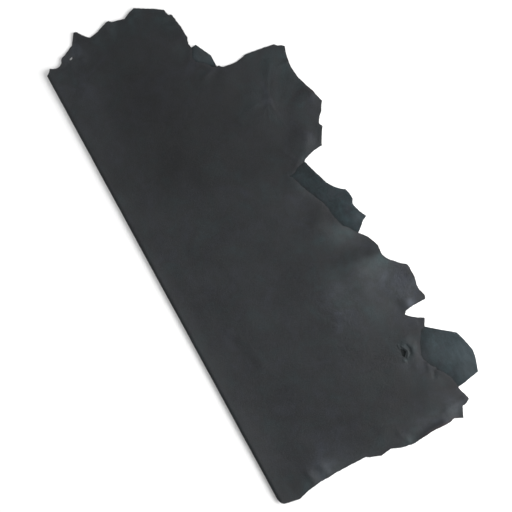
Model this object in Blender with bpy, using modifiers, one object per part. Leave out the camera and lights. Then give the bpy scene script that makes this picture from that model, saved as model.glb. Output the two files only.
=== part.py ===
"""A whole calf hide, folded once along the backbone and laid flat, grain side out.

The hide is cut as one flat sheet and then folded. The flat sheet has two coordinates:
across, measured from the backbone (positive on the upper half, negative on the half
that lies on the surface), and along, measured from the tail end to the neck.
The edge is written down as the folded hide lies, seen from above: out from the fold
and along it. All numbers in the tables are millimetres.
"""
import math

import bmesh
import bpy
from mathutils import Vector
from mathutils.geometry import delaunay_2d_cdt

MM = 0.001                  # the tables are in millimetres, Blender is in metres

THICKNESS = 1.5             # leather, grain to flesh
LAYER_GAP = 1.0             # air between the two layers where they lie closest
BEND_RADIUS = 7.0           # middle of the leather round the fold
BEND_LEAN = math.radians(14)    # how far the top of the fold turns past level
BEND_END = 12.0             # how far up the fold starts at the tail end

ROW_STEP = 28.0             # grid of the sheet, along
UPPER_STEP = 22.0           # grid of the sheet, across the upper half
SLOPE_STEP = 15.0           # across the slope that comes down from the fold
LOWER_STEP = 52.0           # across the flat lower half
BEND_STEPS = 10             # strips round the bend
EDGE_STEP = 30.0            # longest straight piece of the cut edge
EDGE_CLEAR = 7.0            # a grid point nearer to the edge than this is left out

# Edge of the upper half, from the fold's neck end round to its tail end.
# Columns: out, along, bow of the stretch to the next row (positive bulges outward).
UPPER_EDGE = {
    "neck": [
        (0, 1300, 0), (5, 1301, -1), (16, 1313, -1), (36, 1306, -1), (51, 1313, 1),
        (58, 1324, 0), (98, 1342, 0), (118, 1370, 1), (127, 1367, -1.7),
        (152, 1337, 0), (178, 1342, 0), (208, 1352, 0.5), (217, 1352, 0),
        (222, 1346, 0), (257, 1337, 1.3), (292, 1350, 0), (337, 1324, 0),
        (362, 1307, 0), (365, 1290, 0), (373, 1288, 1.7), (381, 1225, 0),
        (382, 1211, -1), (376, 1195, 0), (379, 1182, 0),
    ],
    "over the lower throat": [
        (373, 1171, 0), (367, 1159, 0), (370, 1142, 0), (380, 1136, 0),
        (394, 1124, 0), (402, 1110, 0),
    ],
    "front shank": [
        (414, 1105, 0), (421, 1106, 0), (424, 1100, -1), (437, 1095, -0.5),
        (463, 1092, -1), (494, 1098, 1), (578, 1085, 0), (584, 1078, 0),
        (593, 1074, 0), (601, 1067, -1.5), (590, 1022, -1.5), (594, 972, 0),
        (602, 947, 0), (610, 926, 0), (616, 898, 0), (619, 890, -1), (604, 866, -1),
        (587, 848, 0), (583, 838, 0), (588, 829, -1), (561, 784, -2.5),
        (504, 773, -1),
    ],
    "armpit, over the lower flank": [
        (501, 768, 0), (475, 763, 0), (465, 756, 0), (451, 752, 0), (442, 755, 0),
        (450, 747, 0), (456, 730, -1), (469, 693, 0), (488, 651, 1.3),
        (495, 622, -1.3), (502, 581, 0), (507, 568, 1),
    ],
    "flank": [
        (535, 530, 1), (554, 506, 0.5), (565, 475, -1.8), (563, 448, -0.8),
        (572, 430, 0), (600, 400, 0), (608, 395, 0), (611, 391, 0), (612, 354, 0),
        (606, 332, 0), (607, 317, 0), (612, 300, 1.5), (608, 287, 0),
        (577, 288, -1), (546, 284, 0), (540, 277, -0.8), (566, 253, 0),
        (583, 245, 0),
    ],
    "over the lower hind shank": [
        (571, 223, 0), (557, 219, 1), (540, 193, 1), (526, 163, 0), (526, 148, 0),
        (533, 130, 0), (538, 120, 0), (545, 113, 0), (545, 104, 0), (555, 94, 0),
        (567, 73, 1),
    ],
    "rump": [
        (573, 35, 0), (576, 23, 0), (583, 0, 0), (583, -5, 0), (566, -13, 0),
        (559, -13, 0), (545, -43, 0), (523, -31, 0), (516, -32, 0), (511, -35, 0),
        (453, -33, 0), (419, -37, 0), (396, -40, 1), (360, -34, 0), (334, -23, 0),
        (324, -24, 0), (303, -27, 0), (272, -16, 0), (265, -10, 0), (180, -9, 0),
        (108, -12, 0), (79, -17, 0), (70, -20, 0), (54, -24, 0), (32, -19, 0),
        (12, -14, 1), (4, -5, 0), (1.5, 2, 0),
    ],
}

# Edge of the lower half, from the neck end to the tail end, with its flesh side up.
# It shows beyond the upper half at the throat, the flank and the hind shank; the rest
# lies hidden and follows the upper half a little further in. Same columns.
LOWER_EDGE = {
    "neck, hidden": [
        (10, 1296, 0), (60, 1288, 0), (95, 1302, 0), (118, 1340, 0), (150, 1320, 0),
        (205, 1338, 0), (256, 1322, 0), (290, 1334, 0), (348, 1299, 0),
        (364, 1276, 0), (370, 1215, 0), (364, 1195, 0),
    ],
    "throat": [(370, 1182, 0), (392, 1185, 0), (414, 1142, 0.5)],
    "front shank, hidden": [
        (414, 1101, 0), (427, 1084, 0), (462, 1080, 0), (495, 1085, 0),
        (570, 1073, 0), (588, 1060, 0), (580, 1020, 0), (583, 972, 0),
        (600, 925, 0), (607, 890, 0), (576, 845, 0), (579, 825, 0), (555, 792, 0),
        (500, 782, 0), (494, 772, 0),
    ],
    "flank": [
        (501, 765, 0), (507, 743, 0), (524, 692, -2.5), (552, 656, 0), (561, 650, 1),
        (566, 620, 0), (559, 606, -0.5), (568, 575, 0), (575, 561, 0), (558, 550, 0),
    ],
    "belly, hidden": [
        (537, 531, 0), (530, 520, 0), (546, 500, 0), (555, 475, 0), (553, 450, 0),
        (562, 430, 0), (598, 390, 0), (601, 350, 0), (596, 325, 0), (599, 300, 0),
        (545, 294, 0), (531, 278, 0), (552, 252, 0), (556, 234, 0),
    ],
    "hind shank": [
        (571, 223, 0), (609, 192, 0), (639, 169, 1), (655, 107, 1.7), (639, 48, 0),
        (594, 39, 0),
    ],
    "rump, hidden": [
        (570, 35, 0), (563, 28, 0), (570, 2, 0), (552, -8, 0), (540, -26, 0),
        (505, -26, 0), (400, -29, 0), (335, -11, 0), (303, -15, 0), (265, 0, 0),
        (150, 2, 0), (80, -6, 0), (53, -12, 0), (20, -4, 0), (9, 4, 0),
    ],
}

# Holes in the upper half. Columns: out, along, length, width, turn from out to along.
HOLES = {
    "neck hole": (79, 1312, 11, 5, math.radians(28)),
    "flank tear": (486, 189, 19, 11, math.radians(76)),
}

# Soft ridges on the upper half. Columns: out and along of the start, out and along
# of the end, height, half width.
RIDGES = {
    "shoulder": (75, 1240, 45, 960, 2.5, 45),
    "back": (60, 760, 50, 300, 2.0, 40),
    "neck swell": (270, 1290, 330, 1210, 5, 55),
    "throat swell": (330, 1120, 400, 1060, 4, 45),
    "withers": (190, 1040, 260, 900, 3, 60),
    "shank ridge": (545, 1040, 500, 955, 2.5, 20),
    "shank fan": (490, 955, 430, 940, 2.5, 34),
    "knee": (600, 905, 560, 900, 2.4, 32),
    "elbow": (540, 835, 518, 798, 3.5, 32),
    "armpit edge": (452, 730, 478, 640, 3, 24),
    "side": (360, 760, 400, 640, 3, 60),
    "flank rise": (452, 600, 462, 545, 3, 26),
    "flank swell": (440, 600, 496, 585, 5, 40),
    "flank fold": (572, 452, 450, 473, 4, 32),
    "flank fold edge": (572, 452, 530, 458, 5.5, 30),
    "belly": (484, 440, 470, 330, 3, 40),
    "thigh": (420, 330, 330, 240, 3, 60),
    "hip": (562, 326, 556, 298, 2, 22),
    "shank edge": (508, 208, 506, 150, 3.2, 18),
    "rump swell": (530, 105, 498, 42, 2.5, 46),
    "croup": (350, 190, 310, 120, 1.2, 60),
    "rump corner": (536, -2, 522, -12, 3.4, 22),
    "tail edge": (490, -24, 420, -24, 4, 20),
    "tail roll": (70, 44, 330, 28, 3, 38),
}


# ---- the folded section -----------------------------------------------------------

BEND_X = THICKNESS / 2 + BEND_RADIUS                # centre of the bend, out and up
BEND_Z = THICKNESS / 2 + BEND_RADIUS
UPPER_Z = 1.5 * THICKNESS + LAYER_GAP               # middle of the upper half at rest
EASE_RADIUS = ((BEND_Z + BEND_RADIUS - UPPER_Z) / (1 - math.cos(BEND_LEAN))
               - BEND_RADIUS)                       # the long slope off the fold
BEND_ARC = BEND_RADIUS * (math.pi / 2 + BEND_LEAN)  # leather from fold to slope
EASE_ARC = EASE_RADIUS * BEND_LEAN                  # leather down the slope
SLOPE_X = BEND_X + BEND_RADIUS * math.sin(BEND_LEAN)
REST_X = SLOPE_X + EASE_RADIUS * math.sin(BEND_LEAN)
REST_ACROSS = BEND_ARC + EASE_ARC
LOWER_ARC = BEND_RADIUS * math.pi / 2               # leather from fold to surface


def upper_across(out):
    """Distance across the flat sheet to a point of the upper half, from its plan."""
    if out <= SLOPE_X:
        reach = min(1.0, (BEND_X - out) / BEND_RADIUS)
        return BEND_RADIUS * math.acos(reach)
    if out <= REST_X:
        tilt = math.asin(math.sin(BEND_LEAN) - (out - SLOPE_X) / EASE_RADIUS)
        return BEND_ARC + EASE_RADIUS * (BEND_LEAN - tilt)
    return REST_ACROSS + out - REST_X


def lower_across(out):
    """The same for the lower half, where the distance is negative."""
    if out <= BEND_X:
        return -BEND_RADIUS * math.acos(min(1.0, (BEND_X - out) / BEND_RADIUS))
    return -(LOWER_ARC + out - BEND_X)


def section(across):
    """Place (out, up) in the folded section of a point of the flat sheet."""
    if across <= -LOWER_ARC:
        return BEND_X - across - LOWER_ARC, THICKNESS / 2
    if across <= BEND_ARC:
        turn = across / BEND_RADIUS
        return (BEND_X - BEND_RADIUS * math.cos(turn),
                BEND_Z + BEND_RADIUS * math.sin(turn))
    if across <= REST_ACROSS:
        tilt = BEND_LEAN - (across - BEND_ARC) / EASE_RADIUS
        return (SLOPE_X + EASE_RADIUS * (math.sin(BEND_LEAN) - math.sin(tilt)),
                UPPER_Z + EASE_RADIUS * (1 - math.cos(tilt)))
    return REST_X + across - REST_ACROSS, UPPER_Z


def smooth(value):
    """Ease from 0 to 1."""
    value = max(0.0, min(1.0, value))
    return value * value * (3 - 2 * value)


def relief(out, along):
    """Height of the soft ridges over a place of the upper half."""
    place = Vector((out, along))
    height = 0.0
    for out_1, along_1, out_2, along_2, rise, half_width in RIDGES.values():
        start = Vector((out_1, along_1))
        run = Vector((out_2, along_2)) - start
        share = max(0.0, min(1.0, (place - start).dot(run) / run.length_squared))
        gap = (place - start - run * share).length
        height += rise * math.exp(-(gap / half_width) ** 2)
    return height


def folded(across, along):
    """A point of the flat sheet, in metres, where it lies on the folded hide."""
    out, up = section(across)
    if across > 0:
        up += relief(out, along) * smooth(across / REST_ACROSS)
    return Vector((out, along, up)) * MM


# ---- the flat sheet ---------------------------------------------------------------

def bowed(rows, to_across):
    """Points of an edge in flat coordinates, its bowed stretches as arcs."""
    points = []
    for (out_1, along_1, bow), (out_2, along_2, _) in zip(rows, rows[1:]):
        start = Vector((out_1, along_1))
        chord = Vector((out_2, along_2)) - start
        outward = Vector((-chord.y, chord.x)).normalized()
        steps = max(1, math.ceil(chord.length / EDGE_STEP))
        if bow:
            steps = max(3, steps)
        for step in range(steps):
            share = step / steps
            sagitta = bow * 4 * share * (1 - share)
            spot = start + chord * share + outward * sagitta
            points.append(Vector((to_across(spot.x), spot.y)))
    return points


def finer_round_bend(points):
    """Add points where the edge runs round the fold, so that it follows the bend."""
    strip = (BEND_ARC + LOWER_ARC) / BEND_STEPS
    finer = []
    for start, end in zip(points, points[1:] + points[:1]):
        finer.append(start)
        near = min(abs(start.x), abs(end.x)) < BEND_ARC
        if near and abs(end.x - start.x) > strip:
            steps = math.ceil(min(abs(end.x - start.x), 2 * BEND_ARC) / strip)
            finer += [start.lerp(end, step / steps) for step in range(1, steps)]
    return finer


def flat_edge():
    """The closed cut edge of the flat hide."""
    upper = [row for rows in UPPER_EDGE.values() for row in rows] + [(0, BEND_END, 0)]
    lower = [(0, 1300, 0)] + [row for rows in LOWER_EDGE.values() for row in rows]
    lower.append((0, BEND_END, 0))
    upper_points = bowed(upper, upper_across)
    lower_points = bowed(walked_back(lower), lower_across)
    return finer_round_bend(upper_points + lower_points)


def walked_back(rows):
    """The same edge walked the other way, each bow kept with its own stretch."""
    places = [row[:2] for row in rows][::-1]
    bows = [row[2] for row in rows[:-1]][::-1] + [0]
    return [(out, along, -bow) for (out, along), bow in zip(places, bows)]


def hole_edge(out, along, length, width, turn, steps=12):
    """An oval hole in flat coordinates."""
    points = []
    for step in range(steps):
        angle = 2 * math.pi * step / steps
        long_way = length / 2 * math.cos(angle)
        short_way = width / 2 * math.sin(angle)
        spot_out = out + long_way * math.cos(turn) - short_way * math.sin(turn)
        spot_along = along + long_way * math.sin(turn) + short_way * math.cos(turn)
        points.append(Vector((upper_across(spot_out), spot_along)))
    return points


def inside(point, loop):
    """Whether a flat point lies within a closed loop."""
    odd = False
    for start, end in zip(loop, loop[1:] + loop[:1]):
        if (start.y > point.y) != (end.y > point.y):
            cross = start.x + (point.y - start.y) * (end.x - start.x) / (end.y - start.y)
            odd ^= point.x < cross
    return odd


def clearance(point, loop):
    """Shortest distance from a flat point to a closed loop."""
    best = math.inf
    for start, end in zip(loop, loop[1:] + loop[:1]):
        run = end - start
        share = max(0.0, min(1.0, (point - start).dot(run) / run.length_squared))
        best = min(best, (point - start - run * share).length)
    return best


def grid_columns(low, high):
    """Where the grid's lines cross the sheet, closest round the bend."""
    strip = (BEND_ARC + LOWER_ARC) / BEND_STEPS
    columns = [-LOWER_ARC + strip * step for step in range(BEND_STEPS + 1)]
    while columns[-1] < REST_ACROSS:
        columns.append(columns[-1] + SLOPE_STEP)
    while columns[-1] < high:
        columns.append(columns[-1] + UPPER_STEP)
    across = -LOWER_ARC - SLOPE_STEP
    while across > low:
        columns.append(across)
        across -= LOWER_STEP
    return columns


def flat_sheet():
    """Vertices and triangles of the flat hide, cut to its edge and its holes."""
    edge = flat_edge()
    loops = [edge] + [hole_edge(*hole) for hole in HOLES.values()]
    acrosses = [point.x for point in edge]
    alongs = [point.y for point in edge]
    points = []
    edges = []
    for loop in loops:
        first = len(points)
        points += loop
        edges += [(first + i, first + (i + 1) % len(loop)) for i in range(len(loop))]
    rows = math.ceil((max(alongs) - min(alongs)) / ROW_STEP)
    for across in grid_columns(min(acrosses), max(acrosses)):
        in_bend = -LOWER_ARC - 1 < across < BEND_ARC + 1
        for row in range(rows):
            spot = Vector((across, min(alongs) + (row + 0.5) * ROW_STEP))
            if not inside(spot, edge):
                continue
            clear = EDGE_CLEAR / 3 if in_bend else EDGE_CLEAR
            if min(clearance(spot, loop) for loop in loops) > clear:
                points.append(spot)
    verts, _, faces, *_ = delaunay_2d_cdt(points, edges, [], 1, 1e-4)
    kept = []
    for face in faces:
        middle = sum((verts[i] for i in face), Vector((0, 0))) / len(face)
        if inside(middle, edge) and not any(inside(middle, hole) for hole in loops[1:]):
            kept.append(face)
    return verts, kept


# ---- the hide ---------------------------------------------------------------------

def leather():
    """Blue-black grain leather with a soft sheen."""
    material = bpy.data.materials.new("blue_black_leather")
    material.use_nodes = True
    shader = material.node_tree.nodes["Principled BSDF"]
    shader.inputs["Base Color"].default_value = (0.040, 0.044, 0.048, 1)
    shader.inputs["Roughness"].default_value = 0.55
    shader.inputs["Metallic"].default_value = 0.0
    return material


def make_hide(collection):
    """The hide: one sheet, cut flat, folded, and given its thickness."""
    verts, faces = flat_sheet()
    sheet = bmesh.new()
    corners = [sheet.verts.new(folded(vert.x, vert.y)) for vert in verts]
    for face in faces:
        sheet.faces.new([corners[i] for i in face])
    loose = [vert for vert in sheet.verts if not vert.link_faces]
    bmesh.ops.delete(sheet, geom=loose, context="VERTS")
    bmesh.ops.recalc_face_normals(sheet, faces=sheet.faces[:])

    # The origin goes under the middle of the folded hide.
    far_out = max(vert.co.x for vert in sheet.verts)
    neck = max(vert.co.y for vert in sheet.verts)
    tail = min(vert.co.y for vert in sheet.verts)
    middle = Vector((far_out / 2, (neck + tail) / 2, 0))
    bmesh.ops.translate(sheet, verts=sheet.verts[:], vec=-middle)

    mesh = bpy.data.meshes.new("hide")
    sheet.to_mesh(mesh)
    sheet.free()
    mesh.shade_smooth()
    mesh.materials.append(leather())
    hide = bpy.data.objects.new("hide", mesh)
    collection.objects.link(hide)
    solidify = hide.modifiers.new("thickness", "SOLIDIFY")
    solidify.thickness = THICKNESS * MM
    solidify.offset = 0
    solidify.use_even_offset = True
    return hide


def main():
    for old in list(bpy.data.objects):
        bpy.data.objects.remove(old, do_unlink=True)
    collection = bpy.data.collections.new("leather_hide")
    bpy.context.scene.collection.children.link(collection)
    make_hide(collection)


main()
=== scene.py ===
import math

import bmesh
import bpy
import numpy as np
from mathutils import Matrix, Vector, noise
from mathutils.geometry import delaunay_2d_cdt
from mathutils.kdtree import KDTree


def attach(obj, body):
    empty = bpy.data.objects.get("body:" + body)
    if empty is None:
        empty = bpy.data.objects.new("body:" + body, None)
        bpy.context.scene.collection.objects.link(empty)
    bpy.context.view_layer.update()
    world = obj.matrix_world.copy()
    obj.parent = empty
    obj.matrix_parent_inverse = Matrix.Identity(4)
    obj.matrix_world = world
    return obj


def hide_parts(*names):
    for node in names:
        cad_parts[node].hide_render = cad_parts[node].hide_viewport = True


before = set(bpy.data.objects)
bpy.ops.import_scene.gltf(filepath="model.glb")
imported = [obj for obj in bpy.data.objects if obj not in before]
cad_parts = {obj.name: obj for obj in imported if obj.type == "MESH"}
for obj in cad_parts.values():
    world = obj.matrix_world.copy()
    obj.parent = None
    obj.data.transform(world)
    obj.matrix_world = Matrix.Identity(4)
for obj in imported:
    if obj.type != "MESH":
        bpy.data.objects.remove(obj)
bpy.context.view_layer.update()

mm = 0.001    # the hide's tables are in millimetres

# The hide as it lies, folded once along the backbone. Every place on it is given as
# out (from the fold) and along (from the tail end, 0, to the neck end, 1300).
hide = {
    "flat": (1.281, 1.411),  # metres, the hide opened out
    "area": 1.443,         # square metres
    "middle": (327.8, 663.5),  # out and along of the object's origin
    # how it is folded
    "thickness": 1.5,
    "layerGap": 1,         # air between the two layers
    "bendRadius": 7,       # middle of the leather round the fold
    "bendLean": 14,        # degrees that the top of the fold turns past level
    "bendEnd": 12,         # where the fold starts, at the tail end
    "foldEnd": 1300,       # and where it ends, at the neck
    # how it is cut, and the spacing of its points
    "upperWander": (0.7, 1),  # how far the cut wanders off its line, its noise layer
    "lowerWander": (-0.7, 7),
    "edgePitch": 3,        # spacing along the cut edge,
    "bendPitch": 2.2,      # round the fold
    "bendRow": 5.5,        # and along it,
    "upperPitch": 5.1,     # over the upper layer,
    "patchPitch": 4.6,     # where the lower layer shows
    "hiddenPitch": 17,     # and where it does not
    "bendKeepOff": 1.2,    # how far points keep from the cut, by the fold
    "keepOff": 2.3,        # and elsewhere
    "fineKeepOff": 0.55,   # and in a fine zone, in spacings
    "pastBend": (2.4, 5),  # room left past the fold, on the upper and lower layer,
    "pastFine": 2,         # round a fine zone
    "pastPatch": 3,        # and round a patch
    "shortest": 0.3,       # two points of the cut closer than this become one
    # how the upper layer lies; a noise is its size across and along, and its layer
    "lowest": 2.45,        # its middle never sinks below this
    "settle": 0.25,        # and meets it this softly
    "sink": 0.9,           # it sinks past the lower layer's edge,
    "sinkFrom": (1.5, 9),  # from this far out, over this distance
    "unevenFrom": 30,      # its unevenness grows over this distance from the backbone
    "ripple": (0.5, 1.1),  # ripples along the cut: height, and how much it varies,
    "rippleNoise": (31, 31, 9.1),
    "rippleFrom": 40,      # how far from the backbone they are full,
    "rippleReach": 7,      # and how far in from the cut they reach
    "crinkleNoise": (7.5, 9.5, 11.7),
    "crinkleWarp": (30, 30, 2.2),  # noise that bends the crinkles,
    "warpReach": 4,        # and how far
    "crinkleSharp": 2.4,
    "crinkleLeast": 0.01,  # none where it would be lower
    # how the lower layer lies, out from the upper layer's edge
    "lowerShow": 22,       # its relief grows over this distance,
    "lowerCurl": 10,       # and its curls over this
    "lowerRise": (0.5, 0.9),  # its lift, and its share of the unevenness
    "lowerRipple": (0.4, 8),  # height of its ripples, and their reach from the cut
    # puckers round the fold
    "pucker": 0.22,
    "puckerNoise": (9, 17, 21.3),
    "puckerSlow": (90, 90, 4.4),  # noise of a slower wave along the fold,
    "slowShare": 1.6,      # and its share
    "puckerReach": (6, 7),  # half the band they fill, and how it fades
}

# Cut edge of the upper layer, from the fold's neck end round to its tail end.
# Each row: out, along, and how far the stretch to the next row bows outward, if it does.
upperEdge = [
    # neck
    (0, 1300), (5, 1301, -1), (16, 1313, -1), (36, 1306, -1), (51, 1313, 1), (58, 1324),
    (98, 1342), (118, 1370, 1), (127, 1367, -1.7), (152, 1337), (178, 1342), (208, 1352, 0.5),
    (217, 1352), (222, 1346), (257, 1337, 1.3), (292, 1350), (337, 1324), (362, 1307),
    (365, 1290), (373, 1288, 1.7), (381, 1225), (382, 1211, -1), (376, 1195), (379, 1182),
    # over the lower layer's throat
    (373, 1171), (367, 1159), (370, 1142), (380, 1136), (394, 1124), (402, 1110),
    # front shank
    (414, 1105), (421, 1106), (424, 1100, -1), (437, 1095, -0.5), (463, 1092, -1), (494, 1098, 1),
    (578, 1085), (584, 1078), (593, 1074), (601, 1067, -1.5), (590, 1022, -1.5), (594, 972),
    (602, 947), (610, 926), (616, 898), (619, 890, -1), (604, 866, -1), (587, 848), (583, 838),
    (588, 829, -1), (561, 784, -2.5), (504, 773, -1),
    # armpit, over the lower layer's flank
    (501, 768), (475, 763), (465, 756), (451, 752), (442, 755), (450, 747), (456, 730, -1),
    (469, 693), (488, 651, 1.3), (495, 622, -1.3), (502, 581), (507, 568, 1),
    # flank
    (535, 530, 1), (554, 506, 0.5), (565, 475, -1.8), (563, 448, -0.8), (572, 430), (600, 400),
    (608, 395), (611, 391), (612, 354), (606, 332), (607, 317), (612, 300, 1.5), (608, 287),
    (577, 288, -1), (546, 284), (540, 277, -0.8), (566, 253), (583, 245),
    # over the lower layer's hind shank
    (571, 223), (557, 219, 1), (540, 193, 1), (526, 163), (526, 148), (533, 130), (538, 120),
    (545, 113), (545, 104), (555, 94), (567, 73, 1),
    # rump and tail end
    (573, 35), (576, 23), (583, 0), (583, -5), (566, -13), (559, -13), (545, -43), (523, -31),
    (516, -32), (511, -35), (453, -33), (419, -37), (396, -40, 1), (360, -34), (334, -23),
    (324, -24), (303, -27), (272, -16), (265, -10), (180, -9), (108, -12), (79, -17), (70, -20),
    (54, -24), (32, -19), (12, -14, 1), (4, -5), (1.5, 2), (0, 12),
]

# Cut edge of the lower layer, from the neck end to the tail end. Same columns. It shows
# at the throat, the flank and the hind shank, and lies a little further in elsewhere.
lowerEdge = [
    # neck, hidden
    (0, 1300), (10, 1296), (60, 1288), (95, 1302), (118, 1340), (150, 1320), (205, 1338),
    (256, 1322), (290, 1334), (348, 1299), (364, 1276), (370, 1215), (364, 1195),
    # throat
    (370, 1182), (392, 1185), (414, 1142, 0.5),
    # front shank, hidden
    (414, 1101), (427, 1084), (462, 1080), (495, 1085), (570, 1073), (588, 1060), (580, 1020),
    (583, 972), (600, 925), (607, 890), (576, 845), (579, 825), (555, 792), (500, 782),
    (494, 772),
    # flank
    (501, 765), (507, 743), (524, 692, -2.5), (552, 656), (561, 650, 1), (566, 620),
    (559, 606, -0.5), (568, 575), (575, 561), (558, 550),
    # belly, hidden
    (537, 531), (530, 520), (546, 500), (555, 475), (553, 450), (562, 430), (598, 390),
    (601, 350), (596, 325), (599, 300), (545, 294), (531, 278), (552, 252), (556, 234),
    # hind shank
    (571, 223), (609, 192), (639, 169, 1), (655, 107, 1.7), (639, 48), (594, 39),
    # rump, hidden
    (570, 35), (563, 28), (570, 2), (552, -8), (540, -26), (505, -26), (400, -29), (335, -11),
    (303, -15), (265, 0), (150, 2), (80, -6), (53, -12), (20, -4), (9, 4), (0, 12),
]

# Where the lower layer shows: lowest and highest out, lowest and highest along.
patches = {
    "throat": (352, 424, 1080, 1200),
    "flank": (436, 584, 524, 782),
    "hindShank": (510, 664, 26, 240),
}

# Holes in the upper layer: out, along, length, width, degrees turned from out to along,
# how uneven the rim is.
holeSteps = 28
holes = {
    "neckHole": (79, 1312, 10, 4.4, 28, 0.1),
    "flankTear": (487, 188.5, 22, 13, 80, 0.3),
}

# Where the upper layer has small creases: out, along, reach, spacing of points.
fineZones = [(487, 190, 31, 1.5), (508, 966, 66, 3.3), (586, 356, 56, 3.3), (536, 102, 30, 3),
             (470, -10, 46, 3.3), (548, -8, 30, 3.3)]

# Soft swells and fine creases of the upper layer. Each row: height at the start, share of
# it left at the end, half width (or the left and the right one), and the line it follows
# as (out, along) points. A negative height is a trough.
swells = {
    "shoulder": (2.5, 1, 45, (75, 1240), (45, 960)),
    "back": (2, 1, 40, (60, 760), (50, 300)),
    "neckSwell": (5, 1, 55, (270, 1290), (330, 1210)),
    "throatSwell": (4, 1, 45, (330, 1120), (400, 1060)),
    "withers": (3, 1, 60, (190, 1040), (260, 900)),
    "shankRidge": (2.2, 0.8, 18, (545, 1040), (500, 955)),
    "shankFan": (2.6, 0.5, 34, (490, 955), (430, 940)),
    "knee": (2.4, 0.7, 32, (600, 905), (560, 900)),
    "elbow": (3.7, 1, 30, (534, 838), (512, 802)),
    "armpitEdge": (3.2, 1, 24, (452, 730), (478, 640)),
    "side": (3, 1, 60, (360, 760), (400, 640)),
    "flankSwell": (5, 0.8, 40, (440, 600), (496, 585)),
    "flankFold": (11.5, 0.05, (42, 27), (572, 452), (520, 460), (460, 471), (380, 488)),
    "flankRise": (3.2, 0.8, 26, (452, 600), (462, 545)),
    "thigh": (3, 1, 60, (420, 330), (330, 240)),
    "bellyRise": (3.4, 0.6, 40, (484, 440), (470, 330)),
    "hip": (2, 1, 22, (562, 326), (556, 298)),
    "shankEdge": (3.2, 1, 17, (508, 208), (506, 150)),
    "rumpSwell": (2.8, 0.8, 46, (530, 105), (498, 42)),
    "croup": (1.2, 1, 60, (350, 190), (310, 120)),
    "rumpCorner": (2.6, 1, 24, (532, 0), (520, -8)),
    "tailRoll": (3, 1, 38, (70, 44), (200, 38), (330, 28)),
    "tailEdge": (4, 1, 20, (490, -24), (420, -24)),
}
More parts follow.
